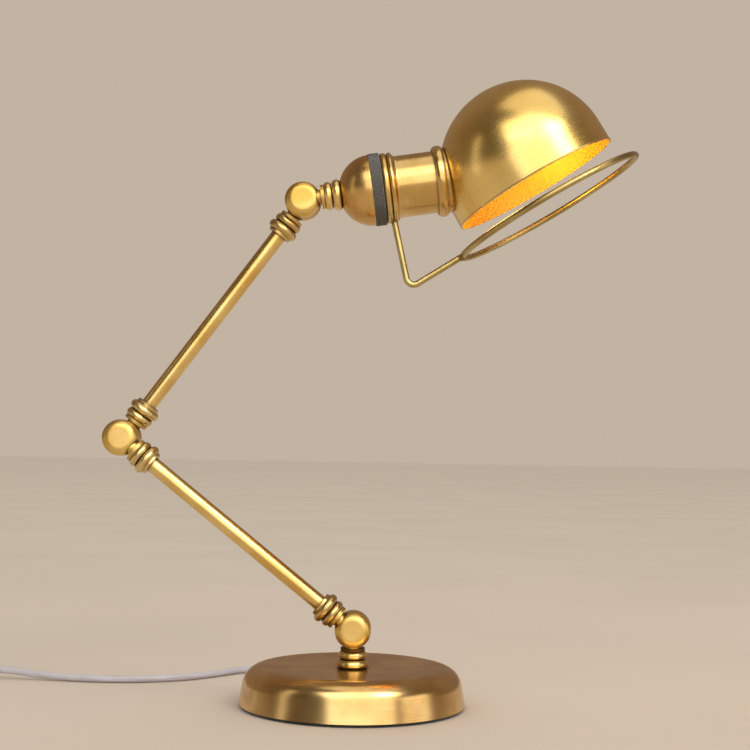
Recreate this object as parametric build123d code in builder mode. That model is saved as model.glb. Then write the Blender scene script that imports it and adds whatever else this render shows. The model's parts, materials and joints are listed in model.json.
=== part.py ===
"""Swing arm desk lamp: a weighted round base, two tube arms joined by three flat-sided
swivel knuckles, and a domed head with a wire guard and handle.

Millimetres. +Z is up, +X is the way the head reaches, and the origin is the middle of the
underside of the base pad. The arms fold in planes parallel to XZ: the stem and upper arm in
the plane y = 0, the lower arm and head in a plane just in front of it.
"""

import os
from math import cos, pi, radians, sin, sqrt, tan

from build123d import *

os.makedirs("parts", exist_ok=True)

# ---------------------------------------------------------------- driving dimensions
# Base
base_radius = 75.0
base_height = 26.3
base_shoulder = 13.0
base_lean = 10.0
base_dish = 1.7
base_wall = 1.2
pad_thickness = 2.0
pad_radius = 73.4
plate_thickness = 1.2
weight_radius = 58.0
nut_pocket_radius = 13.0
nut_pocket_top = 13.0
screw_circle = 42.0

# Pose at rest: angles from +X towards +Z
joint_height = 50.9
arm_length = 199.6
lower_angle = 141.6
upper_angle = 53.9
head_angle = 8.6
shade_angle = -59.3

# Knuckles and collars, by distance from the joint's centre along the arm
knuckle_radius = 12.0
knuckle_edge = 5.5
knuckle_depth = 12.0
half_offset = 6.0
half_start = 0.65
web_end = 3.2
cap_radius = 6.0
cap_start = 10.0
cavity_radius = 8.5
pivot_radius = 5.0
running_clearance = 0.05
body_gap = 0.3
wire_bore = 3.0
neck_start = 12.6
neck_end = 14.8
neck_radius = 8.1
inner_ring_end = 20.2
inner_ring_radius = 9.4
outer_ring_start = 20.4
outer_ring_end = 26.0
outer_ring_radius = 10.4
ferrule_end = 28.0
ferrule_radius = 8.0
bead_swell = 1.9
tube_radius = 5.2
tube_bore = 4.2
core_radius = 1.6

# Head, by distance from the upper joint along the socket's axis
head_spigot_end = 33.0
cup_start = 26.4
cup_end = 46.6
cup_mouth_radius = 23.65
cup_wall = 1.2
knurl_end = 54.2
knurl_radius = 24.4
bead_end = 58.7
bead_radius = 23.6
sleeve_start = 58.9
flange_end = 62.2
sleeve_body_start = 65.2
sleeve_radius = 20.6
sleeve_bore = 19.0
flare_start = 89.4
flare_end = 96.0
flare_radius = 23.8
holder_radius = 18.8
holder_start = 62.0
holder_end = 104.0
globe_centre = 115.0
globe_radius = 18.5
bulb_neck_start = 99.5
bulb_neck_radius = 12.2
glass_wall = 0.8

# Shade and guard: the dome's centre lies just off the socket's axis
dome_along = 150.5
dome_above = 2.5
dome_radius = 57.0
shade_wall = 1.0
skirt_length = 14.5
rim_radius = 57.6
guard_drop = 17.4
guard_radius = 66.0
guard_wire = 2.1
handle_along = 62.3
handle_below = 69.2
handle_top_along = 58.8
handle_top_below = 20.5
handle_bend = 5.0

# Cord, switch and plug
cord_radius = 2.4
bushing_height = 9.0
bushing_turn = 100.0
bushing_end = 98.0
switch_centre = (-311.0, 84.0)
switch_length = 62.0
switch_width = 26.0
switch_bottom = 0.3
switch_split = 8.6
switch_top = 16.0
switch_neck = 8.0
cord_in_switch = 6.0
rocker_pivot_height = 12.0
rocker_length = 18.0
rocker_width = 11.0
coil_centre = (-342.6, 150.0)
coil_outer = 39.9
coil_inner = 17.9
coil_height = 9.7
plug_x = -380.0
plug_height = 7.6
plug_relief_start = 184.0
plug_body_start = 196.0
plug_body_end = 228.0
plug_width = 24.0
plug_depth = 14.6
blade_gap = 12.7
blade_length = 16.5

# The cord's route, from the bushing round to the switch, the coil and the plug
bushing_out = (cos(radians(bushing_turn)), sin(radians(bushing_turn)))
lamp_route = [
    (bushing_out[0] * 92, bushing_out[1] * 92, bushing_height),
    (-19.1, 108.3, 8.6),
    (-28.0, 126.0, 4.8),
    (-46.0, 137.0, 2.6),
    (-68.0, 136.0, 2.5),
    (-89.0, 122.0, 2.5),
    (-106.0, 101.0, 2.5),
    (-126.0, 84.0, 2.5),
    (-155.0, 73.5, 2.5),
    (-188.0, 72.0, 2.5),
    (-222.0, 79.0, 2.9),
    (-251.0, 84.0, cord_in_switch),
    (-272.0, 84.0, cord_in_switch),
]
switch_route = [
    (-350.0, 84.0, cord_in_switch),
    (-365.0, 86.0, 4.4),
    (-376.0, 97.5, 2.7),
    (-379.5, 114.0, 2.5),
    (-380.0, 130.0, 2.5),
    (-379.0, 143.0, 2.5),
]
plug_route = [
    (-379.0, 156.0, 7.3),
    (-380.6, 170.0, 7.4),
    (plug_x, plug_relief_start, plug_height),
]

# ---------------------------------------------------------------- derived places
back = 1
front = -1
mid_y = -half_offset
front_y = -2 * half_offset


def polar(length, angle):
    """The step of a given length at an angle in the XZ plane."""
    return Vector(length * cos(radians(angle)), 0, length * sin(radians(angle)))


base_joint = Vector(0, mid_y, joint_height)
elbow_joint = base_joint + polar(arm_length, lower_angle)
head_joint = elbow_joint + polar(arm_length, upper_angle)
head_way = polar(1, head_angle)
head_up = polar(1, head_angle + 90)
shade_way = polar(1, shade_angle)
head_origin = head_joint + Vector(0, front_y - mid_y, 0)
dome_centre = head_origin + head_way * dome_along + head_up * dome_above
rim_centre = dome_centre + shade_way * skirt_length
guard_centre = rim_centre + shade_way * guard_drop
guard_across = polar(1, shade_angle + 90)


# ---------------------------------------------------------------- shared shapes
def lathe_plane(origin, way):
    """A sketch plane whose x runs along a lathe's axis and whose y is the radius."""
    way = Vector(way).normalized()
    upright = abs(way.Z) > 0.99
    normal = Vector(0, -1, 0) if upright else way.cross(Vector(0, 0, 1))
    return Plane(origin=origin, x_dir=way, z_dir=normal)


def turned(origin, way, outline):
    """A lathe-turned piece from an outline of (distance along, radius) points."""
    with BuildPart() as piece:
        with BuildSketch(lathe_plane(origin, way)):
            with BuildLine():
                Polyline(*outline, close=True)
            make_face()
        revolve(axis=Axis(origin, way))
    return piece.part


def plain_ring(origin, way, start, end, radius, bore, bevel):
    """A turned ring with bevelled outer edges."""
    outline = [
        (start, bore),
        (start, radius - bevel),
        (start + bevel, radius),
        (end - bevel, radius),
        (end, radius - bevel),
        (end, bore),
    ]
    return turned(origin, way, outline)


def bead(origin, way, start, end, radius, bore, before=(), after=()):
    """A turned ring with a round outer face, and any plain steps to each side."""
    edge = radius - bead_swell
    first = before[0][0] if before else start
    last = after[-1][0] if after else end
    with BuildPart() as ring:
        with BuildSketch(lathe_plane(origin, way)):
            with BuildLine():
                Polyline((first, bore), *before, (start, edge))
                ThreePointArc((start, edge), ((start + end) / 2, radius), (end, edge))
                Polyline((end, edge), *after, (last, bore), (first, bore))
            make_face()
        revolve(axis=Axis(origin, way))
    return ring.part


def hex_nut(origin, way, start, end, across, bore):
    """A plain hexagon nut."""
    face = Plane(origin=Vector(origin) + Vector(way) * start, z_dir=way)
    with BuildPart() as nut:
        with BuildSketch(face):
            RegularPolygon(radius=across / 2, side_count=6, major_radius=False)
            Circle(bore, mode=Mode.SUBTRACT)
        extrude(amount=end - start)
    return nut.part


def arm_origin(joint, side):
    """The point on an arm's axis beside a joint's centre."""
    return joint + Vector(0, half_offset * side, 0)


def knuckle_half(joint, side, way, spigot):
    """Half a knuckle: a hollow round cup, with a neck and a spigot for its arm.

    spigot is a list of (end, radius) steps beyond the neck.
    """
    cup_way = (0, side, 0)
    origin = arm_origin(joint, side)
    shoulder = knuckle_radius - knuckle_edge
    corner = knuckle_edge * sqrt(0.5)
    arm = [(neck_start - 3.6, 0), (neck_start - 3.6, pivot_radius)]
    arm += [(neck_start, pivot_radius), (neck_start, neck_radius)]
    arm += [(neck_end, neck_radius)]
    reached = neck_end
    for end, radius in spigot:
        arm += [(reached, radius), (end, radius)]
        reached = end
    arm += [(reached, 0)]
    with BuildPart() as half:
        with BuildSketch(lathe_plane(joint, cup_way)):
            with BuildLine():
                Polyline(
                    (web_end, pivot_radius),
                    (half_start, pivot_radius),
                    (half_start, knuckle_radius),
                    (knuckle_depth - knuckle_edge, knuckle_radius),
                )
                ThreePointArc(
                    (knuckle_depth - knuckle_edge, knuckle_radius),
                    (knuckle_depth - knuckle_edge + corner, shoulder + corner),
                    (knuckle_depth, shoulder),
                )
                Polyline(
                    (knuckle_depth, shoulder),
                    (knuckle_depth, cap_radius),
                    (cap_start, cap_radius),
                    (cap_start, cavity_radius),
                    (web_end, cavity_radius),
                    (web_end, pivot_radius),
                )
            make_face()
        revolve(axis=Axis(joint, cup_way))
        with BuildSketch(lathe_plane(origin, way)):
            with BuildLine():
                Polyline(*arm, close=True)
            make_face()
        revolve(axis=Axis(origin, way))
        with BuildSketch(Plane(origin=origin + way * cap_radius, z_dir=way)):
            Circle(wire_bore)
        extrude(amount=reached, mode=Mode.SUBTRACT)
        if side == front:
            with BuildSketch(Plane(origin=joint, z_dir=cup_way)):
                Circle(pivot_radius + running_clearance)
            extrude(amount=web_end + body_gap, mode=Mode.SUBTRACT)
    return half.part


def knuckle_cap(joint, side):
    """The disc that closes a knuckle half."""
    outline = [
        (cap_start, 0),
        (cap_start, cap_radius),
        (knuckle_depth, cap_radius),
        (knuckle_depth, 0),
    ]
    return turned(joint, (0, side, 0), outline)


def pivot_tube(joint):
    """The hollow bolt that the front half turns on: its head lies in the back half."""
    shank_end = web_end + body_gap + 4.4
    outline = [
        (-web_end - 2.0, wire_bore),
        (-web_end - 2.0, 7.5),
        (-web_end, 7.5),
        (-web_end, pivot_radius),
        (shank_end, pivot_radius),
        (shank_end, wire_bore),
    ]
    return turned(joint, (0, front, 0), outline)


def friction_washer(joint):
    """The fibre disc between the two halves of a knuckle."""
    near = half_start - body_gap
    outline = [
        (-half_start, pivot_radius),
        (-half_start, knuckle_radius - 0.6),
        (near, knuckle_radius - 0.6),
        (near, pivot_radius),
    ]
    return turned(joint, (0, front, 0), outline)


def pivot_nut(joint):
    """The nut on the pivot, inside the front half."""
    start = web_end + body_gap
    return hex_nut(joint, (0, front, 0), start, start + 3.4, 13.0, pivot_radius)


def inner_ring(joint, side, way):
    """The ring next to a knuckle's neck."""
    origin = arm_origin(joint, side)
    return bead(
        origin, way, neck_end, inner_ring_end, inner_ring_radius, pivot_radius
    )


def tube_socket(joint, side, way):
    """The larger ring, stepped down to the ferrule that an arm's tube enters."""
    return bead(
        arm_origin(joint, side),
        way,
        outer_ring_start,
        outer_ring_end,
        outer_ring_radius,
        tube_radius,
        after=[
            (outer_ring_end, ferrule_radius),
            (ferrule_end - 0.3, ferrule_radius),
            (ferrule_end, ferrule_radius - 0.3),
        ],
    )


def arm_tube(joint, side, way):
    """A plain round arm between its two knuckles."""
    outline = [
        (outer_ring_start, tube_bore),
        (outer_ring_start, tube_radius),
        (arm_length - outer_ring_start, tube_radius),
        (arm_length - outer_ring_start, tube_bore),
    ]
    return turned(arm_origin(joint, side), way, outline)


def arm_cores(joint, side, way):
    """The two insulated wires lying in an arm's tube."""
    clear = outer_ring_end
    low = sqrt((tube_bore - core_radius) ** 2 - core_radius**2)
    start = Plane(
        origin=arm_origin(joint, side) + way * clear, x_dir=(0, 1, 0), z_dir=way
    )
    with BuildPart() as cores:
        with BuildSketch(start):
            with Locations((-core_radius, low), (core_radius, low)):
                Circle(core_radius)
        extrude(amount=arm_length - 2 * clear)
    return cores.part


def pair(first, second):
    """Two matching pieces, kept as separate solids of one node."""
    with BuildPart() as both:
        add(first)
        add(second)
    return both.part


def save(part, name):
    """Label a finished piece and write it."""
    part.label = name
    export_step(part, f"parts/{name}.step")


tube_spigot = [(outer_ring_start, pivot_radius), (outer_ring_end - 1, tube_bore)]
up = Vector(0, 0, 1)
down = Vector(0, 0, -1)
lower_way = polar(1, lower_angle)
upper_way = polar(1, upper_angle)

# ---------------------------------------------------------------- base
lean = radians(base_lean)
sweep_middle = (pi / 2 - lean) / 2
shoulder_centre = base_height - base_shoulder
shell_side_top = shoulder_centre + base_shoulder * sin(lean)
top_centre = base_height - base_dish
foot_seat = outer_ring_radius + 0.4
shell_flat = (
    base_radius
    - (shell_side_top - pad_thickness) * tan(lean)
    - base_shoulder * cos(lean)
)
inner_shoulder = base_shoulder - base_wall
inner_side_top = shoulder_centre + inner_shoulder * sin(lean)
inner_radius = base_radius - base_wall / cos(lean)
post_hole = 7.0
dish_middle = (shell_flat + foot_seat) / 2
dish_middle_height = base_height - base_dish / 4
bushing_way = Vector(bushing_out[0], bushing_out[1], 0)
bushing_origin = Vector(0, 0, bushing_height)

with BuildPart() as base_shell:
    with BuildSketch(Plane.XZ):
        with BuildLine():
            Polyline(
                (foot_seat, top_centre - base_wall),
                (post_hole, top_centre - base_wall),
                (post_hole, top_centre),
                (foot_seat, top_centre),
            )
            ThreePointArc(
                (foot_seat, top_centre),
                (dish_middle, dish_middle_height),
                (shell_flat, base_height),
            )
            ThreePointArc(
                (shell_flat, base_height),
                (
                    shell_flat + base_shoulder * sin(sweep_middle),
                    shoulder_centre + base_shoulder * cos(sweep_middle),
                ),
                (shell_flat + base_shoulder * cos(lean), shell_side_top),
            )
            Polyline(
                (shell_flat + base_shoulder * cos(lean), shell_side_top),
                (base_radius, pad_thickness),
                (inner_radius, pad_thickness),
                (shell_flat + inner_shoulder * cos(lean), inner_side_top),
            )
            ThreePointArc(
                (shell_flat + inner_shoulder * cos(lean), inner_side_top),
                (
                    shell_flat + inner_shoulder * sin(sweep_middle),
                    shoulder_centre + inner_shoulder * cos(sweep_middle),
                ),
                (shell_flat, base_height - base_wall),
            )
            ThreePointArc(
                (shell_flat, base_height - base_wall),
                (dish_middle, dish_middle_height - base_wall),
                (foot_seat, top_centre - base_wall),
            )
        make_face()
    revolve(axis=Axis.Z)
    with BuildSketch(Plane(origin=bushing_origin, z_dir=bushing_way)):
        Circle(4.2)
    extrude(amount=base_radius + 5, mode=Mode.SUBTRACT)
save(base_shell.part, "base_shell")

plate_top = pad_thickness + plate_thickness
weight_top = top_centre - base_wall
screw_radius = 2.0
with BuildPart() as base_weight:
    with BuildSketch(Plane.XY.offset(plate_top)):
        Circle(weight_radius)
    extrude(amount=weight_top - plate_top)
    chamfer(base_weight.faces().sort_by(Axis.Z)[-1].edges(), 1.5)
    with BuildSketch(Plane.XY.offset(plate_top)):
        Circle(nut_pocket_radius)
    extrude(amount=nut_pocket_top - plate_top, mode=Mode.SUBTRACT)
    with BuildSketch(Plane.XY.offset(plate_top)):
        Circle(post_hole)
    extrude(amount=weight_top, mode=Mode.SUBTRACT)
    with BuildSketch(Plane(origin=bushing_origin, x_dir=up, z_dir=bushing_way)):
        Rectangle(11, 14)
    extrude(amount=base_radius, mode=Mode.SUBTRACT)
    with BuildSketch(Plane.XY.offset(plate_top)):
        with PolarLocations(screw_circle, 3, start_angle=30):
            Circle(screw_radius)
    extrude(amount=10, mode=Mode.SUBTRACT)
save(base_weight.part, "base_weight")

with BuildPart() as base_plate:
    with BuildSketch(Plane.XY.offset(pad_thickness)):
        Circle(inner_radius - 0.6)
        with PolarLocations(screw_circle, 3, start_angle=30):
            Circle(screw_radius, mode=Mode.SUBTRACT)
    extrude(amount=plate_thickness)
save(base_plate.part, "base_plate")

with BuildPart() as plate_screws:
    with BuildSketch(Plane.XY.offset(pad_thickness)):
        with PolarLocations(screw_circle, 3, start_angle=30):
            Circle(screw_radius)
    extrude(amount=plate_thickness + 8)
    with BuildSketch(Plane.XY.offset(pad_thickness)):
        with PolarLocations(screw_circle, 3, start_angle=30):
            Circle(3.8)
    extrude(amount=-1.4)
save(plate_screws.part, "plate_screws")

with BuildPart() as base_pad:
    with BuildSketch(Plane.XY):
        Circle(pad_radius)
    extrude(amount=pad_thickness)
    with BuildSketch(Plane.XY.offset(pad_thickness)):
        with PolarLocations(screw_circle, 3, start_angle=30):
            Circle(4.2)
    extrude(amount=-1.5, mode=Mode.SUBTRACT)
save(base_pad.part, "base_pad")

foot_top = joint_height - outer_ring_start - 0.1
foot = bead(
    (0, 0, 0),
    up,
    top_centre,
    foot_top,
    outer_ring_radius,
    pivot_radius + running_clearance,
    before=[(nut_pocket_top, post_hole), (top_centre, post_hole)],
)
save(foot, "swivel_bushing")

collar = 5.4
wall_outside = base_radius - tan(lean) * (bushing_height - collar - pad_thickness)
wall_inside = inner_radius - tan(lean) * (bushing_height + collar - pad_thickness)
relief = turned(
    bushing_origin,
    bushing_way,
    [
        (wall_inside - 2.8, cord_radius),
        (wall_inside - 2.8, collar),
        (wall_inside - 0.25, collar),
        (wall_inside - 0.25, 4.2),
        (wall_outside + 0.1, 4.2),
        (wall_outside + 0.1, collar),
        (wall_outside + 2.4, collar),
        (wall_outside + 3.6, 4.6),
        (bushing_end, 3.4),
        (bushing_end, cord_radius),
    ],
)
save(relief, "cord_bushing")

# ---------------------------------------------------------------- stem
stem_spigot_end = 42.4
stem_half = knuckle_half(base_joint, back, down, [(stem_spigot_end, pivot_radius)])
save(stem_half, "stem_knuckle")
stem_ring_end = outer_ring_start - 0.3
stem_ring = bead(
    (0, 0, joint_height),
    down,
    neck_end,
    stem_ring_end - 0.1,
    inner_ring_radius,
    pivot_radius,
)
save(stem_ring, "stem_ring")
save(pivot_tube(base_joint), "stem_pivot")
save(friction_washer(base_joint), "stem_washer")
save(pivot_nut(base_joint), "stem_pivot_nut")
save(knuckle_cap(base_joint, back), "stem_cap")
swivel_nut_start = joint_height - nut_pocket_top + body_gap
swivel_nut = hex_nut(
    (0, 0, joint_height),
    down,
    swivel_nut_start,
    swivel_nut_start + 3.4,
    14.0,
    pivot_radius,
)
save(swivel_nut, "swivel_nut")

# ---------------------------------------------------------------- lower arm
save(knuckle_half(base_joint, front, lower_way, tube_spigot), "lower_arm_base_knuckle")
save(
    knuckle_half(elbow_joint, front, -lower_way, tube_spigot), "lower_arm_elbow_knuckle"
)
save(arm_tube(base_joint, front, lower_way), "lower_arm_tube")
save(arm_cores(base_joint, front, lower_way), "lower_arm_wires")

save(
    pair(
        inner_ring(base_joint, front, lower_way),
        inner_ring(elbow_joint, front, -lower_way),
    ),
    "lower_arm_rings",
)

save(
    pair(
        tube_socket(base_joint, front, lower_way),
        tube_socket(elbow_joint, front, -lower_way),
    ),
    "lower_arm_tube_sockets",
)

save(
    pair(
        knuckle_cap(base_joint, front),
        knuckle_cap(elbow_joint, front),
    ),
    "lower_arm_caps",
)

# ---------------------------------------------------------------- upper arm
save(knuckle_half(elbow_joint, back, upper_way, tube_spigot), "upper_arm_elbow_knuckle")
save(knuckle_half(head_joint, back, -upper_way, tube_spigot), "upper_arm_head_knuckle")
save(arm_tube(elbow_joint, back, upper_way), "upper_arm_tube")
save(arm_cores(elbow_joint, back, upper_way), "upper_arm_wires")

save(
    pair(
        inner_ring(elbow_joint, back, upper_way),
        inner_ring(head_joint, back, -upper_way),
    ),
    "upper_arm_rings",
)

save(
    pair(
        tube_socket(elbow_joint, back, upper_way),
        tube_socket(head_joint, back, -upper_way),
    ),
    "upper_arm_tube_sockets",
)

save(
    pair(
        knuckle_cap(elbow_joint, back),
        knuckle_cap(head_joint, back),
    ),
    "upper_arm_caps",
)

save(
    pair(
        pivot_tube(elbow_joint),
        pivot_tube(head_joint),
    ),
    "upper_arm_pivots",
)

save(
    pair(
        friction_washer(elbow_joint),
        friction_washer(head_joint),
    ),
    "upper_arm_washers",
)

save(
    pair(
        pivot_nut(elbow_joint),
        pivot_nut(head_joint),
    ),
    "upper_arm_pivot_nuts",
)

# ---------------------------------------------------------------- head: collar and socket
save(
    knuckle_half(head_joint, front, head_way, [(head_spigot_end, pivot_radius)]),
    "head_knuckle",
)
save(knuckle_cap(head_joint, front), "head_cap")
save(inner_ring(head_joint, front, head_way), "head_inner_ring")
head_outer_ring = bead(
    head_origin,
    head_way,
    outer_ring_start,
    cup_start,
    outer_ring_radius,
    pivot_radius,
)
save(head_outer_ring, "head_outer_ring")

cup_back_radius = 9.6
with BuildPart() as socket_cup:
    with BuildSketch(lathe_plane(head_origin, head_way)):
        with BuildLine():
            Line((cup_start, pivot_radius), (cup_start, cup_back_radius))
            ThreePointArc(
                (cup_start, cup_back_radius), (33.4, 18.9), (cup_end, cup_mouth_radius)
            )
            Polyline(
                (cup_end, cup_mouth_radius),
                (cup_end, cup_mouth_radius - cup_wall),
            )
            ThreePointArc(
                (cup_end, cup_mouth_radius - cup_wall),
                (34.2, 17.9),
                (cup_start + 1.5, cup_back_radius - 0.6),
            )
            Polyline(
                (cup_start + 1.5, cup_back_radius - 0.6),
                (cup_start + 1.5, pivot_radius),
                (cup_start, pivot_radius),
            )
        make_face()
    revolve(axis=Axis(head_origin, head_way))
save(socket_cup.part, "socket_cup")

cup_nut = hex_nut(
    head_origin, head_way, cup_start + 1.5, cup_start + 5.0, 14.0, pivot_radius
)
save(cup_nut, "cup_nut")
knurled_ring = plain_ring(
    head_origin, head_way, cup_end, knurl_end, knurl_radius, sleeve_bore, 0.7
)
save(knurled_ring, "knurled_ring")

handle_top = (
    head_origin + head_way * handle_top_along - head_up * handle_top_below
)
handle_corner = head_origin + head_way * handle_along - head_up * handle_below
ring_near_end = guard_centre - guard_across * guard_radius
wire_hole_way = (handle_corner - handle_top).normalized()


wire_hole = turned(
    handle_top, wire_hole_way, [(0, 0), (0, guard_wire), (8, guard_wire), (8, 0)]
)

with BuildPart() as guard_clamp:
    with BuildSketch(lathe_plane(head_origin, head_way)):
        with BuildLine():
            Polyline(
                (bead_end, bead_radius - 1.4),
                (bead_end, sleeve_bore),
                (knurl_end, sleeve_bore),
                (knurl_end, bead_radius - 1.4),
            )
            ThreePointArc(
                (knurl_end, bead_radius - 1.4),
                ((knurl_end + bead_end) / 2, bead_radius),
                (bead_end, bead_radius - 1.4),
            )
        make_face()
    revolve(axis=Axis(head_origin, head_way))
    add(wire_hole, mode=Mode.SUBTRACT)
save(guard_clamp.part, "guard_clamp_ring")

flare_middle = (flare_start + flare_end) / 2
skirt_space = turned(
    dome_centre,
    shade_way,
    [
        (0, 0),
        (0, dome_radius),
        (skirt_length, rim_radius),
        (skirt_length, 0),
    ],
)
with BuildPart() as socket_sleeve:
    with BuildSketch(lathe_plane(head_origin, head_way)):
        with BuildLine():
            Polyline(
                (sleeve_start, sleeve_bore),
                (sleeve_start, bead_radius - 1.2),
            )
            ThreePointArc(
                (sleeve_start, bead_radius - 1.2),
                ((sleeve_start + flange_end) / 2, bead_radius - 0.1),
                (flange_end, bead_radius - 1.2),
            )
            ThreePointArc(
                (flange_end, bead_radius - 1.2),
                (flange_end + 1.0, sleeve_radius + 0.5),
                (sleeve_body_start, sleeve_radius),
            )
            Polyline(
                (sleeve_body_start, sleeve_radius),
                (flare_start, sleeve_radius),
                (flare_start, flare_radius - 1.5),
            )
            ThreePointArc(
                (flare_start, flare_radius - 1.5),
                (flare_middle, flare_radius),
                (flare_end, flare_radius - 1.3),
            )
            Polyline(
                (flare_end, flare_radius - 1.3),
                (flare_end, flare_radius - 2.2),
                (flare_end + 6, flare_radius - 2.2),
                (flare_end + 6, sleeve_bore),
                (sleeve_start, sleeve_bore),
            )
        make_face()
    revolve(axis=Axis(head_origin, head_way))
    add(wire_hole, mode=Mode.SUBTRACT)
    with Locations(dome_centre):
        Sphere(dome_radius, mode=Mode.SUBTRACT)
    add(skirt_space, mode=Mode.SUBTRACT)
save(socket_sleeve.part, "socket_sleeve")

# ---------------------------------------------------------------- head: holder and bulb
holder_floor = holder_start + 8
holder_bore = 14.6
lamp_holder = turned(
    head_origin,
    head_way,
    [
        (holder_start, wire_bore),
        (holder_start, holder_radius),
        (holder_end, holder_radius),
        (holder_end, holder_bore + 1),
        (holder_end - 5, holder_bore),
        (holder_floor, holder_bore),
        (holder_floor, wire_bore),
    ],
)
save(lamp_holder, "lamp_holder")

shell_radius = 14.6
holder_shell = turned(
    head_origin,
    head_way,
    [
        (holder_floor, 9.0),
        (holder_floor, shell_radius),
        (holder_floor + 26, shell_radius),
        (holder_floor + 26, shell_radius - 0.5),
        (holder_floor + 0.5, shell_radius - 0.5),
        (holder_floor + 0.5, 9.0),
    ],
)
save(holder_shell, "holder_screw_shell")

cap_tip = holder_floor + 2.5
holder_contact = turned(
    head_origin,
    head_way,
    [
        (holder_floor - 1.5, 0),
        (holder_floor - 1.5, wire_bore),
        (holder_floor, wire_bore),
        (holder_floor, 4.5),
        (holder_floor + 0.6, 4.5),
        (cap_tip, 1.5),
        (cap_tip, 0),
    ],
)
save(holder_contact, "holder_contact")

bulb_cap = turned(
    head_origin,
    head_way,
    [
        (cap_tip, 0),
        (cap_tip, 4.6),
        (cap_tip + 1.6, 5.6),
        (cap_tip + 4.4, 12.9),
        (bulb_neck_start, 13.2),
        (bulb_neck_start, 0),
    ],
)
save(bulb_cap, "bulb_cap")


def globe_edge(radius, neck):
    """How far along the axis a globe of this radius meets its neck."""
    return globe_centre - sqrt(radius**2 - neck**2)


inner_globe = globe_radius - glass_wall
inner_neck = bulb_neck_radius - glass_wall
with BuildPart() as bulb_glass:
    with BuildSketch(lathe_plane(head_origin, head_way)):
        with BuildLine():
            Polyline(
                (bulb_neck_start, inner_neck),
                (bulb_neck_start, bulb_neck_radius),
                (globe_edge(globe_radius, bulb_neck_radius), bulb_neck_radius),
            )
            ThreePointArc(
                (globe_edge(globe_radius, bulb_neck_radius), bulb_neck_radius),
                (globe_centre, globe_radius),
                (globe_centre + globe_radius, 0),
            )
            Line((globe_centre + globe_radius, 0), (globe_centre + inner_globe, 0))
            ThreePointArc(
                (globe_centre + inner_globe, 0),
                (globe_centre, inner_globe),
                (globe_edge(inner_globe, inner_neck), inner_neck),
            )
            Line(
                (globe_edge(inner_globe, inner_neck), inner_neck),
                (bulb_neck_start, inner_neck),
            )
        make_face()
    revolve(axis=Axis(head_origin, head_way))
save(bulb_glass.part, "bulb_glass")

# ---------------------------------------------------------------- head: shade and guard
inner_dome = dome_radius - shade_wall
with BuildPart() as shade:
    with BuildSketch(lathe_plane(dome_centre, shade_way)):
        with BuildLine():
            ThreePointArc(
                (-dome_radius, 0),
                (-dome_radius * sqrt(0.5), dome_radius * sqrt(0.5)),
                (0, dome_radius),
            )
            Polyline(
                (0, dome_radius),
                (skirt_length - 1.2, rim_radius - 0.4),
                (skirt_length - 0.6, rim_radius),
                (skirt_length, rim_radius - 0.2),
                (skirt_length, rim_radius - 1.4),
                (0, inner_dome),
            )
            ThreePointArc(
                (0, inner_dome),
                (-inner_dome * sqrt(0.5), inner_dome * sqrt(0.5)),
                (-inner_dome, 0),
            )
            Line((-inner_dome, 0), (-dome_radius, 0))
        make_face()
    revolve(axis=Axis(dome_centre, shade_way))
    with BuildSketch(Plane(origin=head_origin + head_way * 80, z_dir=head_way)):
        Circle(sleeve_bore)
    extrude(amount=35, mode=Mode.SUBTRACT)
save(shade.part, "shade")

with BuildPart() as shade_nut:
    with Locations(dome_centre):
        Sphere(inner_dome)
    with BuildSketch(Plane(origin=head_origin + head_way * 90, z_dir=head_way)):
        Circle(25.0)
    extrude(amount=13, mode=Mode.INTERSECT)
    with BuildSketch(Plane(origin=head_origin + head_way * 90, z_dir=head_way)):
        Circle(holder_radius)
    extrude(amount=20, mode=Mode.SUBTRACT)
save(shade_nut.part, "shade_ring_nut")

with BuildPart() as guard_handle:
    with BuildLine() as handle_path:
        FilletPolyline(handle_top, handle_corner, ring_near_end, radius=handle_bend)
    with BuildSketch(Plane(origin=handle_top, z_dir=handle_path.line % 0)):
        Circle(guard_wire)
    sweep()
save(guard_handle.part, "guard_handle")

with BuildPart() as guard_ring:
    with BuildSketch(lathe_plane(guard_centre, shade_way)):
        with Locations((0, guard_radius)):
            Circle(guard_wire)
    revolve(axis=Axis(guard_centre, shade_way))
save(guard_ring.part, "guard_ring")


# ---------------------------------------------------------------- cord
def lead(route, name):
    """A tube along straight runs, joined by arcs as large as the runs allow."""
    points = [Vector(*p) for p in route]
    runs = [b - a for a, b in zip(points, points[1:])]
    radii = []
    for here, after in zip(runs, runs[1:]):
        half_turn = radians(here.get_angle(after)) / 2
        radii.append(0.45 * min(here.length, after.length) / tan(half_turn))
    print(name, "bend radii", [round(r, 1) for r in radii])
    with BuildPart() as tube:
        with BuildLine() as path:
            FilletPolyline(*points, radius=radii)
        with BuildSketch(Plane(origin=points[0], z_dir=runs[0])):
            Circle(cord_radius)
        sweep()
    length = sum(edge.length for edge in path.edges())
    fill = tube.part.volume / (pi * cord_radius**2 * length)
    print(name, "length", round(length, 1), "volume over section x length", round(fill, 4))
    return tube.part


save(lead(lamp_route, "lamp_lead"), "lamp_lead")
save(lead(switch_route, "switch_lead"), "switch_lead")
save(lead(plug_route, "plug_lead"), "plug_lead")

with BuildPart() as cord_coil:
    with BuildSketch(Plane(origin=(*coil_centre, 0.1))):
        Circle(coil_outer)
        Circle(coil_inner, mode=Mode.SUBTRACT)
    extrude(amount=coil_height)
    chamfer(cord_coil.edges().filter_by(GeomType.CIRCLE), 1.4)
save(cord_coil.part, "cord_coil")

# ---------------------------------------------------------------- switch on the cord
case_wall = 2.0
well_length = rocker_length + 1.6
well_width = rocker_width + 1.0
pin_radius = 1.5


def switch_plane(height):
    """A level plane through the switch's middle."""
    return Plane(origin=(*switch_centre, height))


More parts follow.
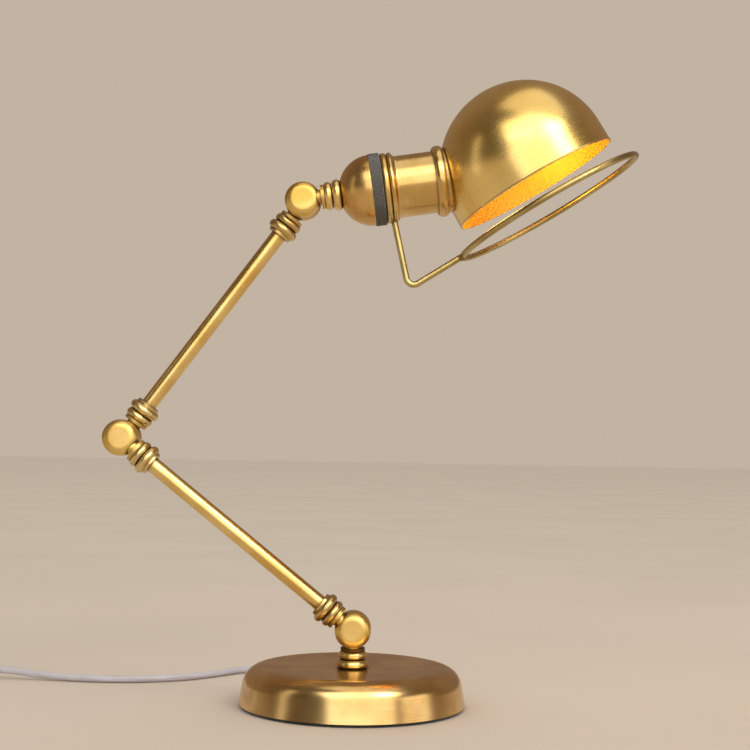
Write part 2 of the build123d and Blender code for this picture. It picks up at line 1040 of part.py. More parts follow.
def neck_profile(low, high):
    """The cord grips at the two ends of the switch, between two heights."""
    reach = switch_length / 2 + switch_neck
    axis_line = Vector(*switch_centre, cord_in_switch)
    with BuildPart() as necks:
        with BuildSketch(Plane(origin=axis_line - Vector(reach, 0, 0), z_dir=(1, 0, 0))):
            Circle(4.4)
        extrude(amount=2 * reach)
        with BuildSketch(switch_plane(low)):
            Rectangle(2 * reach + 2, switch_width)
        extrude(amount=high - low, mode=Mode.INTERSECT)
    return necks.part


base_necks = neck_profile(switch_bottom, switch_split)
with BuildPart() as switch_base:
    with BuildSketch(switch_plane(switch_bottom)):
        RectangleRounded(switch_length, switch_width, 7)
    extrude(amount=switch_split - switch_bottom)
    chamfer(switch_base.faces().sort_by(Axis.Z)[0].edges(), 1.2)
    add(base_necks)
    with BuildSketch(switch_plane(switch_bottom + case_wall)):
        RectangleRounded(switch_length - 2 * case_wall, switch_width - 2 * case_wall, 5)
    extrude(amount=switch_top, mode=Mode.SUBTRACT)
save(switch_base.part, "switch_base")

cover_necks = neck_profile(switch_split, switch_top)
with BuildPart() as switch_cover:
    with BuildSketch(switch_plane(switch_split)):
        RectangleRounded(switch_length, switch_width, 7)
    extrude(amount=switch_top - switch_split)
    fillet(switch_cover.faces().sort_by(Axis.Z)[-1].edges(), 2.0)
    add(cover_necks)
    with BuildSketch(switch_plane(switch_split)):
        RectangleRounded(switch_length - 2 * case_wall, switch_width - 2 * case_wall, 5)
    extrude(amount=2.4, mode=Mode.SUBTRACT)
    with BuildSketch(switch_plane(switch_split)):
        Rectangle(well_length, well_width)
    extrude(amount=switch_top, mode=Mode.SUBTRACT)
    across = Plane(
        origin=(switch_centre[0], switch_centre[1] - 8, rocker_pivot_height),
        z_dir=(0, 1, 0),
    )
    with BuildSketch(across):
        Circle(pin_radius + running_clearance)
    extrude(amount=16, mode=Mode.SUBTRACT)
save(switch_cover.part, "switch_cover")

rocker_tilt = 6.0
half_rocker = rocker_length / 2
rocker_side = Plane(
    origin=(*switch_centre, rocker_pivot_height),
    x_dir=polar(1, rocker_tilt),
    z_dir=(0, -1, 0),
)
with BuildPart() as switch_rocker:
    with BuildSketch(rocker_side):
        with BuildLine():
            Polyline(
                (-half_rocker, 5.6),
                (0, 4.6),
                (half_rocker, 5.6),
                (half_rocker, 0.5),
                (3.0, -2.6),
                (-3.0, -2.6),
                (-half_rocker, 0.5),
                close=True,
            )
        make_face()
    extrude(amount=rocker_width / 2, both=True)
    with BuildSketch(rocker_side):
        Circle(pin_radius)
    extrude(amount=well_width / 2 + 1.4, both=True)
save(switch_rocker.part, "switch_rocker")

# ---------------------------------------------------------------- plug
plug_face = Plane(
    origin=(plug_x, plug_body_start, plug_height), x_dir=(1, 0, 0), z_dir=(0, 1, 0)
)
plug_front = plug_face.offset(plug_body_end - plug_body_start)
plug_back = plug_face.offset(plug_relief_start - plug_body_start)
with BuildPart() as plug_body:
    with BuildSketch(plug_face):
        RectangleRounded(plug_width - 8, plug_depth - 3, 4)
    with BuildSketch(plug_front):
        RectangleRounded(plug_width, plug_depth, 3)
    loft()
    with BuildSketch(plug_back):
        Circle(cord_radius + 0.9)
    with BuildSketch(plug_face):
        Circle(4.6)
    loft()
save(plug_body.part, "plug_body")

with BuildPart() as plug_blades:
    with BuildSketch(plug_front):
        with Locations((-blade_gap / 2, 0), (blade_gap / 2, 0)):
            Rectangle(1.5, 6.3)
    extrude(amount=blade_length)
save(plug_blades.part, "plug_blades")
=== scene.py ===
"""Swing arm desk lamp in aged satin brass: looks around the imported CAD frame."""

import json
import math

import bmesh
import bpy
import numpy as np
from mathutils import Matrix, Vector


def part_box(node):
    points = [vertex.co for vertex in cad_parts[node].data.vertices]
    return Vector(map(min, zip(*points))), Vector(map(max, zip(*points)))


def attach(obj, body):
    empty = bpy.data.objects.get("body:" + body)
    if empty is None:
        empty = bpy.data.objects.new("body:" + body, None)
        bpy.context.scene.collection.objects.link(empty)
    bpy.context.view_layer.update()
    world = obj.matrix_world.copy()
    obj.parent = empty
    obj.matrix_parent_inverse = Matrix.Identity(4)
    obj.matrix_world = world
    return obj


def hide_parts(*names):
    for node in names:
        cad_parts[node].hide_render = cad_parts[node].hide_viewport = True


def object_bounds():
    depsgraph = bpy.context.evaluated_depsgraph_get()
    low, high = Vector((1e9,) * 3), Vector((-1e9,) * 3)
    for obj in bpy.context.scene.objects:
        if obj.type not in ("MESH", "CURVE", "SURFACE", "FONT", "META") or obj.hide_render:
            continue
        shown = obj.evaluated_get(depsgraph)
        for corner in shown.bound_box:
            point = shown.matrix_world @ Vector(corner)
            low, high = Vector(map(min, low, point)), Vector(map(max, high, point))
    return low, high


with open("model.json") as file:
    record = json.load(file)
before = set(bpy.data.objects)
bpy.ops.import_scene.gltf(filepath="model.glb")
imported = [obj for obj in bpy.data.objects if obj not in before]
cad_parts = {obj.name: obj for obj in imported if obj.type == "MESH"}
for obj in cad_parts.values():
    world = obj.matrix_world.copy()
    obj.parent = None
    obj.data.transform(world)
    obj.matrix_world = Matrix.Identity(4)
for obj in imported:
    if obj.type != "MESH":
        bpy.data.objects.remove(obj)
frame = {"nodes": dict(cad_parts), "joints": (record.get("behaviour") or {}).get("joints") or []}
nodes = frame["nodes"]
cad_low, cad_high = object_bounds()
joint_of = {joint["name"]: joint for joint in frame["joints"]}
slot_of = {name: node.data.materials[0].name for name, node in nodes.items()}


# ---------------------------------------------------------------- camera, as the photograph
CAMERA_PLACE = (0.01165, -0.900, 0.1648)
CAMERA_PITCH = math.radians(93.51)
CAMERA_ROLL = math.radians(1.0)
camera_data = bpy.data.cameras.new("camera")
camera_data.sensor_width = 36
camera_data.lens = 64.26
camera_data.clip_start = 0.01
camera = bpy.data.objects.new("camera", camera_data)
camera.matrix_world = (
    Matrix.Translation(CAMERA_PLACE)
    @ Matrix.Rotation(CAMERA_PITCH, 4, "X")
    @ Matrix.Rotation(CAMERA_ROLL, 4, "Z")
)
bpy.context.scene.collection.objects.link(camera)
bpy.context.scene.camera = camera


# ---------------------------------------------------------------- node helpers
class Nodes:
    """A node tree, built up from sockets."""

    def __init__(self, tree):
        self.tree = tree

    def put(self, kind, sockets=None, **settings):
        """A node with its settings, and its sockets set or linked."""
        node = self.tree.nodes.new(kind)
        for key, value in settings.items():
            setattr(node, key, value)
        for key, value in (sockets or {}).items():
            self.fill(node.inputs[key], value)
        return node

    def fill(self, socket, value):
        if isinstance(value, bpy.types.NodeSocket):
            self.tree.links.new(value, socket)
        else:
            socket.default_value = value

    def math(self, operation, a, b=0.0):
        return self.put("ShaderNodeMath", {0: a, 1: b}, operation=operation).outputs[0]

    def vector(self, operation, a, b=(0, 0, 0)):
        node = self.put("ShaderNodeVectorMath", {0: a}, operation=operation)
        if operation == "SCALE":
            self.fill(node.inputs["Scale"], b)
        else:
            self.fill(node.inputs[1], b)
        return node.outputs["Value" if operation in ("DOT_PRODUCT", "LENGTH") else 0]

    def noise(self, vector, scale, detail=3.0, roughness=0.55):
        return self.put(
            "ShaderNodeTexNoise",
            {"Vector": vector, "Scale": scale, "Detail": detail, "Roughness": roughness},
        ).outputs["Fac"]

    def ramp(self, value, low, high, to_low=0.0, to_high=1.0):
        return self.put(
            "ShaderNodeMapRange",
            {
                "Value": value,
                "From Min": low,
                "From Max": high,
                "To Min": to_low,
                "To Max": to_high,
            },
            interpolation_type="SMOOTHSTEP",
        ).outputs["Result"]

    def mix(self, factor, a, b):
        node = self.put(
            "ShaderNodeMix", {"Factor": factor}, data_type="RGBA", blend_type="MIX"
        )
        self.fill(node.inputs[6], a)
        self.fill(node.inputs[7], b)
        return node.outputs[2]

    def bump(self, height, distance, strength=1.0, normal=None):
        sockets = {"Height": height, "Distance": distance, "Strength": strength}
        if normal is not None:
            sockets["Normal"] = normal
        return self.put("ShaderNodeBump", sockets).outputs[0]


class Surface(Nodes):
    """A material with one Principled shader."""

    def __init__(self, name):
        self.material = bpy.data.materials.new(name)
        self.material.use_nodes = True
        super().__init__(self.material.node_tree)
        self.tree.nodes.clear()
        output = self.tree.nodes.new("ShaderNodeOutputMaterial")
        self.shader = self.tree.nodes.new("ShaderNodeBsdfPrincipled")
        self.tree.links.new(self.shader.outputs[0], output.inputs[0])
        self.place = self.put("ShaderNodeTexCoord").outputs["Object"]

    def set(self, **values):
        for key, value in values.items():
            self.fill(self.shader.inputs[key.replace("_", " ")], value)


def colour(red, green, blue):
    return (red, green, blue, 1.0)


def darker(tone, share):
    return colour(*(share * part for part in tone[:3]))


def put_in_scene(name, data):
    thing = bpy.data.objects.new(name, data)
    bpy.context.scene.collection.objects.link(thing)
    return thing


# ---------------------------------------------------------------- places read from the frame
def points_of(node):
    mesh = nodes[node].data
    flat = np.empty(len(mesh.vertices) * 3, np.float32)
    mesh.vertices.foreach_get("co", flat)
    return flat.reshape(-1, 3).astype(float)


def main_axis(node, longest):
    """A node's middle and its longest or its shortest direction."""
    points = points_of(node)
    middle = (points.min(0) + points.max(0)) / 2
    spread = np.cov((points - points.mean(0)).T)
    _, ways = np.linalg.eigh(spread)
    return Vector(middle), Vector(ways[:, 2 if longest else 0])


def ball_centre(node):
    """The centre of a node's round face, by least squares."""
    points = points_of(node)
    rows = np.hstack([2 * points, np.ones((len(points), 1))])
    answer = np.linalg.lstsq(rows, (points**2).sum(1), rcond=None)[0]
    return Vector(answer[:3])


def joint_place(name):
    return Vector(joint_of[name]["pos_m"])


UP = Vector((0, 0, 1))
ACROSS = Vector((0, 1, 0))


# ---------------------------------------------------------------- brass finishes
def about_axis(surface, centre, axis):
    """Where a point is from an axis: its offset, its height and its distance."""
    from_centre = surface.vector("SUBTRACT", surface.place, tuple(centre))
    along = surface.vector("DOT_PRODUCT", from_centre, tuple(axis))
    on_axis = surface.vector("SCALE", tuple(axis), along)
    out = surface.vector("SUBTRACT", from_centre, on_axis)
    return from_centre, along, surface.vector("LENGTH", out)


def lathe_marks(surface, centre, axis, fineness):
    """Noise that runs in rings about an axis, as a spun or turned face has."""
    from_centre, along, radius = about_axis(surface, centre, axis)
    drift = surface.vector("SCALE", from_centre, 0.03)
    rings = surface.put("ShaderNodeCombineXYZ", {0: along, 1: radius}).outputs[0]
    return surface.noise(surface.vector("ADD", rings, drift), fineness, 4.0, 0.65)


def drawn_marks(surface, centre, axis, fineness):
    """Noise stretched along an axis, as a drawn and brushed tube or wire has."""
    from_centre = surface.vector("SUBTRACT", surface.place, tuple(centre))
    along = surface.vector("DOT_PRODUCT", from_centre, tuple(axis))
    shorter = surface.math("MULTIPLY", along, -0.985)
    squeeze = surface.vector("SCALE", tuple(axis), shorter)
    return surface.noise(
        surface.vector("ADD", from_centre, squeeze), fineness, 4.0, 0.65
    )


BRASS = colour(0.86, 0.63, 0.25)
BRASS_WARM = colour(0.73, 0.465, 0.135)
BRASS_DARK = colour(0.12, 0.058, 0.013)
OLD_BRASS = colour(0.40, 0.295, 0.10)
OLD_BRASS_PALE = colour(0.60, 0.475, 0.20)
OLD_BRASS_DARK = colour(0.10, 0.066, 0.022)


def metal(
    name,
    marks,
    centre,
    axis,
    light=BRASS,
    middle=BRASS_WARM,
    dark=BRASS_DARK,
    patina=0.12,
    polish=0.25,
    grain=0.08,
    fineness=3200.0,
    crevice=0.0035,
    ball=None,
    neck_toning=0.3,
):
    """Aged satin brass: brushing, cloudy toning, dark lacquer patina and painted shade in the
    creases, and painted shade on a knuckle's neck.
    """
    surface = Surface(name)
    brush = marks(surface, centre, axis, fineness)
    cloud = surface.noise(surface.place, 34.0, 3.0, 0.5)
    fleck = surface.noise(surface.place, 520.0, 2.0, 0.6)
    tone = surface.mix(surface.ramp(cloud, 0.32, 0.68), light, middle)
    streak = surface.ramp(brush, 0.30, 0.62, patina, 0.0)
    tone = surface.mix(streak, tone, dark)
    spot = surface.ramp(fleck, 0.68, 0.84, 0.0, 0.16)
    tone = surface.mix(spot, tone, dark)
    # Darker in the creases, found by ambient occlusion: painted shade, standing also for lacquer
    # patina left there.
    open_sky = surface.put(
        "ShaderNodeAmbientOcclusion", {"Distance": crevice}, samples=6
    ).outputs["AO"]
    crease_patina_and_shade = surface.ramp(open_sky, 0.30, 0.92, 0.92, 0.0)
    tone = surface.mix(crease_patina_and_shade, tone, dark)
    # Painted shade on the knuckle's neck: darker past the ball's radius.
    if ball:
        _, _, reach = about_axis(surface, centre, axis)
        neck = surface.ramp(reach, ball, ball + 0.0008, 0.0, neck_toning)
        tone = surface.mix(neck, tone, dark)
        crease_patina_and_shade = surface.math("MAXIMUM", crease_patina_and_shade, neck)
    rough = surface.ramp(brush, 0.25, 0.75, polish + grain, polish)
    rough = surface.math("ADD", rough, surface.math("MULTIPLY", crease_patina_and_shade, 0.22))
    relief = surface.bump(brush, 0.000008, 0.3)
    relief = surface.bump(fleck, 0.00002, 0.1, relief)
    surface.set(Base_Color=tone, Metallic=1.0, Roughness=rough, Normal=relief)
    return surface.material


def paint(node, material):
    mesh = nodes[node].data
    mesh.materials.clear()
    mesh.materials.append(material)


def finish_metal(node, marks, centre, axis, **look):
    paint(node, metal(node + "_finish", marks, centre, axis, **look))


base_middle, _ = main_axis("base_shell", False)
finish_metal(
    "base_shell",
    lathe_marks,
    base_middle,
    UP,
    light=colour(0.82, 0.58, 0.25),
    middle=colour(0.66, 0.41, 0.15),
    patina=0.10,
    polish=0.20,
    grain=0.06,
    fineness=2400.0,
)
finish_metal("swivel_bushing", lathe_marks, base_middle, UP)
finish_metal("stem_ring", lathe_marks, base_middle, UP, patina=0.2, crevice=0.005)

BALL_RADIUS = 0.01195
pivots = {
    "stem": joint_place("base_tilt"),
    "elbow": joint_place("elbow"),
    "head": joint_place("head_tilt"),
}
for node, pivot in {
    "stem_knuckle": "stem",
    "stem_cap": "stem",
    "lower_arm_base_knuckle": "stem",
    "lower_arm_elbow_knuckle": "elbow",
    "upper_arm_elbow_knuckle": "elbow",
    "upper_arm_head_knuckle": "head",
    "head_knuckle": "head",
    "head_cap": "head",
}.items():
    finish_metal(
        node,
        lathe_marks,
        pivots[pivot],
        ACROSS,
        light=colour(0.84, 0.60, 0.20),
        middle=colour(0.66, 0.41, 0.095),
        patina=0.12,
        polish=0.34,
        grain=0.08,
        fineness=2600.0,
        ball=BALL_RADIUS,
        # The stem's neck gets the darkest painted shade.
        neck_toning=0.93 if node == "stem_knuckle" else 0.25,
    )

for arm, start in (("lower_arm", "stem"), ("upper_arm", "elbow")):
    middle, way = main_axis(arm + "_tube", True)
    finish_metal(
        arm + "_tube",
        drawn_marks,
        middle,
        way,
        patina=0.07,
        polish=0.23,
        grain=0.06,
        fineness=3600.0,
    )
    for part in ("_rings", "_tube_sockets"):
        finish_metal(
            arm + part,
            lathe_marks,
            middle,
            way,
            light=colour(0.76, 0.58, 0.26),
            middle=colour(0.58, 0.40, 0.145),
            patina=0.2,
            crevice=0.006,
        )
    finish_metal(arm + "_caps", lathe_marks, pivots[start], ACROSS, polish=0.36)

ring_middle, head_way = main_axis("knurled_ring", False)
if head_way.x < 0:
    head_way = -head_way
for node, look in {
    "head_inner_ring": {"crevice": 0.006},
    "head_outer_ring": {"crevice": 0.006},
    "socket_cup": {
        "light": colour(0.72, 0.46, 0.165),
        "middle": colour(0.54, 0.30, 0.08),
    },
    "guard_clamp_ring": {"light": colour(0.68, 0.52, 0.24), "patina": 0.2},
    "socket_sleeve": {
        "light": colour(0.80, 0.58, 0.24),
        "middle": colour(0.62, 0.40, 0.13),
        "polish": 0.2,
    },
    "shade_ring_nut": {},
}.items():
    finish_metal(node, lathe_marks, ring_middle, head_way, **look)


# ---------------------------------------------------------------- shade
SHADE_INSIDE = 0.05630
SHADE_MIDDLE = 0.05665
shade_centre = ball_centre("shade")
guard_middle, shade_way = main_axis("guard_ring", False)
if shade_way.z > 0:
    shade_way = -shade_way


def shade_material():
    """Spun satin outside, and a lighter lacquered inside that spreads the lamp's glow."""
    surface = Surface("shade_finish")
    brush = lathe_marks(surface, shade_centre, shade_way, 2600.0)
    from_centre, along, reach = about_axis(surface, shade_centre, shade_way)
    cloud = surface.noise(surface.place, 22.0, 2.0, 0.5)
    fleck = surface.noise(surface.place, 620.0, 2.0, 0.6)
    tone = surface.mix(
        surface.ramp(cloud, 0.35, 0.65), colour(0.90, 0.66, 0.25), colour(0.82, 0.55, 0.165)
    )
    tone = surface.mix(surface.ramp(brush, 0.30, 0.60, 0.09, 0.0), tone, BRASS_DARK)
    spot = surface.ramp(fleck, 0.70, 0.84, 0.0, 0.10)
    tone = surface.mix(spot, tone, BRASS_DARK)
    in_dome = surface.vector("LENGTH", from_centre)
    below = surface.math("GREATER_THAN", along, 0.0)
    wall = surface.put(
        "ShaderNodeMix", {0: below, 2: in_dome, 3: reach}, data_type="FLOAT"
    ).outputs[0]
    inside = surface.ramp(wall, SHADE_INSIDE, SHADE_MIDDLE, 1.0, 0.0)
    tone = surface.mix(inside, tone, colour(0.88, 0.56, 0.10))
    rough = surface.ramp(brush, 0.25, 0.75, 0.31, 0.23)
    rough = surface.math("ADD", rough, surface.math("MULTIPLY", inside, 0.3))
    relief = surface.bump(brush, 0.00001, 0.4)
    relief = surface.bump(fleck, 0.00002, 0.12, relief)
    surface.set(Base_Color=tone, Metallic=1.0, Roughness=rough, Normal=relief)
    return surface.material


paint("shade", shade_material())

# ---------------------------------------------------------------- guard wire
handle_middle, handle_way = main_axis("guard_handle", True)
for node, centre, way, marks in (
    ("guard_ring", guard_middle, shade_way, lathe_marks),
    ("guard_handle", handle_middle, handle_way, drawn_marks),
):
    finish_metal(
        node,
        marks,
        centre,
        way,
        light=OLD_BRASS_PALE,
        middle=OLD_BRASS,
        dark=OLD_BRASS_DARK,
        patina=0.35,
        polish=0.26,
        grain=0.12,
        fineness=900.0,
    )


# ---------------------------------------------------------------- plain materials
def moulded(name, base, rough, glow=0.0, grain=900.0, depth=0.00002):
    """Moulded plastic or glazed clay: a fine texture and a faint change of tone."""
    surface = Surface(name)
    cloud = surface.noise(surface.place, 60.0, 2.0, 0.5)
    fine = surface.noise(surface.place, grain, 3.0, 0.6)
    tone = surface.mix(surface.ramp(cloud, 0.35, 0.65), base, darker(base, 0.9))
    surface.set(
        Base_Color=tone,
        Roughness=surface.ramp(fine, 0.3, 0.7, rough, rough + 0.12),
        Normal=surface.bump(fine, depth, 0.5),
        Subsurface_Weight=glow,
        Subsurface_Radius=(0.004, 0.003, 0.003),
    )
    return surface.material


def cast(name, base, rough, grain, depth, metallic=0.9):
    surface = Surface(name)
    cloud = surface.noise(surface.place, 45.0, 3.0, 0.6)
    fine = surface.noise(surface.place, grain, 4.0, 0.7)
    surface.set(
        Base_Color=surface.mix(surface.ramp(cloud, 0.3, 0.7), base, darker(base, 0.6)),
        Metallic=metallic,
        Roughness=surface.ramp(fine, 0.3, 0.7, rough, rough + 0.2),
        Normal=surface.bump(fine, depth, 0.7),
    )
    return surface.material


def felt(name, base):
    surface = Surface(name)
    fibre = surface.noise(surface.place, 2600.0, 5.0, 0.8)
    cloud = surface.noise(surface.place, 120.0, 3.0, 0.6)
    surface.set(
        Base_Color=surface.mix(surface.ramp(cloud, 0.3, 0.7), base, darker(base, 0.55)),
        Roughness=1.0,
        Sheen_Weight=0.4,
        Normal=surface.bump(fibre, 0.0003, 0.9),
    )
    return surface.material


WHITE_PLASTIC = moulded("white_plastic", colour(0.80, 0.79, 0.75), 0.30, 0.15)
PLAIN = {
    "clear_cord": moulded("clear_bushing", colour(0.80, 0.77, 0.84), 0.22, 0.3, 500.0),
    "cast_iron": cast("cast_iron", colour(0.10, 0.10, 0.105), 0.6, 700.0, 0.0003),
    "steel": cast("zinc_steel", colour(0.62, 0.63, 0.65), 0.28, 1200.0, 0.00003, 1.0),
    "pad_felt": felt("pad_felt", colour(0.035, 0.04, 0.037)),
    "fibre": moulded("red_fibre", colour(0.22, 0.05, 0.03), 0.55, 0.0, 1400.0, 0.0001),
    "white_plastic": WHITE_PLASTIC,
    "switch_key": moulded("switch_key", colour(0.70, 0.69, 0.65), 0.36, 0.1, 1400.0),
    "blade_metal": cast("plated_blade", colour(0.78, 0.76, 0.70), 0.2, 1600.0, 0.00002, 1.0),
    "wire_insulation": moulded("wire_insulation", colour(0.45, 0.30, 0.08), 0.4),
    "porcelain": moulded("porcelain", colour(0.86, 0.84, 0.78), 0.12, 0.2, 240.0),
    "contact_brass": cast("contact_brass", BRASS, 0.3, 900.0, 0.00003, 1.0),
    "cap_metal": cast("cap_metal", colour(0.70, 0.70, 0.69), 0.25, 900.0, 0.00003, 1.0),
}
for node, slot in slot_of.items():
    if slot in PLAIN:
        paint(node, PLAIN[slot])


def glowing_glass():
    """Frosted bulb glass, lit from within by a warm filament."""
    surface = Surface("bulb_glow")
    cloud = surface.noise(surface.place, 70.0, 2.0, 0.5)
    glow = surface.mix(
        surface.ramp(cloud, 0.3, 0.7), colour(1.0, 0.64, 0.17), colour(1.0, 0.70, 0.22)
    )
    surface.set(
        Base_Color=colour(0.92, 0.84, 0.70),
        Roughness=surface.ramp(cloud, 0.3, 0.7, 0.35, 0.5),
        Emission_Color=glow,
        Emission_Strength=10.5,
    )
    return surface.material


paint("bulb_glass", glowing_glass())


# ---------------------------------------------------------------- mesh helpers
def new_object(name, vertices, faces, material, body):
    mesh = bpy.data.meshes.new(name)
    mesh.from_pydata(vertices, [], faces)
    mesh.update()
    mesh.polygons.foreach_set("use_smooth", [True] * len(mesh.polygons))
    mesh.materials.append(material)
    piece = put_in_scene(name, mesh)
    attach(piece, body)
    return piece


def grid_faces(rows, columns, closed_rows=False):
    """Quads over a grid of points that closes on itself across its columns."""
    faces = []
    for row in range(rows if closed_rows else rows - 1):
        after = (row + 1) % rows
        for column in range(columns):
            beside = (column + 1) % columns
            faces.append(
                (
                    row * columns + column,
                    row * columns + beside,
                    after * columns + beside,
                    after * columns + column,
                )
            )
    return faces


def across(way):
    """Two directions square to a given one."""
    side = way.cross(Vector((0.31, 0.86, 0.41))).normalized()
    return side, way.cross(side)


# ---------------------------------------------------------------- knurled ring
def knurled_ring(diamonds=92, per_diamond=10, rows=24, depth=0.0008, edge=0.0007):
    """A turned band cut with a diamond knurl, closed at its bore."""
    points = points_of("knurled_ring") - np.array(ring_middle)
    along = points @ np.array(head_way)
    reach = np.linalg.norm(points - np.outer(along, np.array(head_way)), axis=1)
    low, high, bore, rim = along.min(), along.max(), reach.min(), reach.max()
    side, other = across(head_way)
    columns = diamonds * per_diamond
    profile = [(low, bore), (low, rim - edge)]
    steps = np.linspace(low + edge * 0.5, high - edge * 0.5, rows)
    profile += [(step, None) for step in steps]
    profile += [(high, rim - edge), (high, bore)]
    pitch = 2 * math.pi * rim / diamonds
    vertices = []
    for step, radius in profile:
        for column in range(columns):
            turn = column / columns
            if radius is None:
                one = (turn * diamonds + step / pitch) % 1
                two = (turn * diamonds - step / pitch) % 1
                peak = min(1 - abs(2 * one - 1), 1 - abs(2 * two - 1))
                fade = min(1, (step - low) / edge, (high - step) / edge)
                reach_here = rim - depth * (1 - peak) - edge * (1 - fade) * 0.5
            else:
                reach_here = radius
            angle = 2 * math.pi * turn
            out = side * math.cos(angle) + other * math.sin(angle)
            vertices.append(ring_middle + head_way * step + out * reach_here)
    surface = Surface("dark_knurl")
    fine = surface.noise(surface.place, 900.0, 3.0, 0.6)
    # Painted shade: the knurl's valleys are darkened where ambient occlusion finds them hidden.
    open_sky = surface.put(
        "ShaderNodeAmbientOcclusion", {"Distance": 0.0008}, samples=6
    ).outputs["AO"]
    unshaded_crest = surface.ramp(open_sky, 0.45, 0.95)
    tone = surface.mix(unshaded_crest, colour(0.018, 0.017, 0.016), colour(0.17, 0.16, 0.15))
    surface.set(
        Base_Color=tone,
        Metallic=0.85,
        Roughness=surface.ramp(fine, 0.3, 0.7, 0.38, 0.55),
        Normal=surface.bump(fine, 0.00003, 0.4),
    )
    ring = new_object(
        "knurled_band",
        vertices,
        grid_faces(len(profile), columns, True),
        surface.material,
        "head",
    )
    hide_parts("knurled_ring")


knurled_ring()


# ---------------------------------------------------------------- brazed joint of the guard
GUARD_WIRE = 0.0021


def braze_fillet():
    """The lump of braze where the handle's wire meets the guard ring."""
    low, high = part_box("guard_ring")
    near = np.array((low.x, (low.y + high.y) / 2, low.z))
    ring_points = points_of("guard_ring")
    distances = np.linalg.norm(ring_points - near, axis=1)
    joint = Vector(ring_points[np.argmin(distances)])
    radius = (guard_middle - joint).normalized()
    joint = joint + radius * 0.8 * GUARD_WIRE
    mesh = bmesh.new()
    bmesh.ops.create_icosphere(mesh, subdivisions=4, radius=1.0)
    side = radius.cross(shade_way).normalized()
    for vertex in mesh.verts:
        x, y, z = vertex.co
        swell = 1 + 0.10 * math.sin(5 * x + 1) * math.sin(4 * y)
        swell += 0.06 * math.sin(9 * z)
        reach_along = 1.75 if x < 0 else 1.15
        vertex.co = joint + swell * GUARD_WIRE * 1.10 * (
            radius * x * reach_along + side * y * 1.5 + shade_way * z
        )
    data = bpy.data.meshes.new("braze_fillet")
    mesh.to_mesh(data)
    mesh.free()
    data.polygons.foreach_set("use_smooth", [True] * len(data.polygons))
    data.materials.append(
        metal(
            "braze_finish",
            lathe_marks,
            joint,
            side,
            light=OLD_BRASS,
            middle=colour(0.36, 0.22, 0.07),
            dark=OLD_BRASS_DARK,
            patina=0.5,
            polish=0.4,
            fineness=600.0,
        )
    )
    piece = put_in_scene("braze_fillet", data)
    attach(piece, "head")


braze_fillet()


# ---------------------------------------------------------------- cord
CORD_DIAMETER = 0.0048
BUSHING_TURN = math.radians(100)
BUSHING_HEIGHT = 0.009
LEAD_START = 0.092


def out_of_bushing(reach):
    return (
        math.cos(BUSHING_TURN) * reach,
        math.sin(BUSHING_TURN) * reach,
        BUSHING_HEIGHT,
    )


lamp_route = [
    out_of_bushing(LEAD_START),
    (-0.0191, 0.1083, 0.0086),
    (-0.028, 0.126, 0.0048),
    (-0.046, 0.137, 0.0026),
    (-0.068, 0.136, 0.0025),
    (-0.089, 0.122, 0.0025),
    (-0.106, 0.101, 0.0025),
    (-0.126, 0.084, 0.0025),
    (-0.155, 0.0735, 0.0025),
    (-0.188, 0.072, 0.0025),
    (-0.222, 0.079, 0.0029),
    (-0.251, 0.084, 0.006),
    (-0.272, 0.084, 0.006),
]
switch_route = [
    (-0.311, 0.084, 0.006),
    (-0.350, 0.084, 0.006),
    (-0.365, 0.086, 0.0044),
    (-0.376, 0.0975, 0.0027),
    (-0.3795, 0.114, 0.0025),
    (-0.380, 0.130, 0.0025),
]
plug_route = [
    (-0.3806, 0.170, 0.0074),
    (-0.380, 0.184, 0.0076),
    (-0.380, 0.198, 0.0076),
]
COIL_CENTRE = (-0.3426, 0.150)
COIL_OUTER = 0.0374
COIL_INNER = 0.0204
COIL_TURNS = 7
POINTS_PER_TURN = 24
LAYER_LOW = 0.0025
LAYER_HIGH = 0.0073


def coil_points():
    """Three and a half turns inwards on the floor, then as many outwards on top of them."""
    count = COIL_TURNS * POINTS_PER_TURN
    half = count / 2
    points = []
    for step in range(count + 1):
        inward = 1 - abs(step - half) / half
        radius = COIL_OUTER + (COIL_INNER - COIL_OUTER) * inward
        rise = min(1.0, max(0.0, (step - half) / (POINTS_PER_TURN / 3) + 0.5))
        height = LAYER_LOW + (LAYER_HIGH - LAYER_LOW) * rise * rise * (3 - 2 * rise)
        angle = math.pi - 2 * math.pi * step / POINTS_PER_TURN
        points.append(
            (
                COIL_CENTRE[0] + radius * math.cos(angle),
                COIL_CENTRE[1] + radius * math.sin(angle),
                height,
            )
        )
    return points


def smooth_curve(name, points, radius):
    data = bpy.data.curves.new(name, "CURVE")
    data.dimensions = "3D"
    data.resolution_u = 6
    data.bevel_depth = radius
    data.bevel_resolution = 5
    data.use_fill_caps = True
    spline = data.splines.new("NURBS")
    spline.points.add(len(points) - 1)
    for place, point in zip(points, spline.points):
        point.co = (*place, 1.0)
    spline.order_u = 3
    spline.use_endpoint_u = True
    return put_in_scene(name, data)


def centre_line(curve):
    """The points that a curve follows, read from it with no bevel."""
    bare = curve.copy()
    bare.data = curve.data.copy()
    bare.data.bevel_depth = 0
    bpy.context.scene.collection.objects.link(bare)
    bpy.context.view_layer.update()
    mesh = bpy.data.meshes.new_from_object(
        bare.evaluated_get(bpy.context.evaluated_depsgraph_get())
    )
    line = [vertex.co.copy() for vertex in mesh.vertices]
    bpy.data.objects.remove(bare)
    return line


CORE_OFFSET = 0.00105
CORE_RADIUS = 0.00085
CORE_PITCH = 0.075


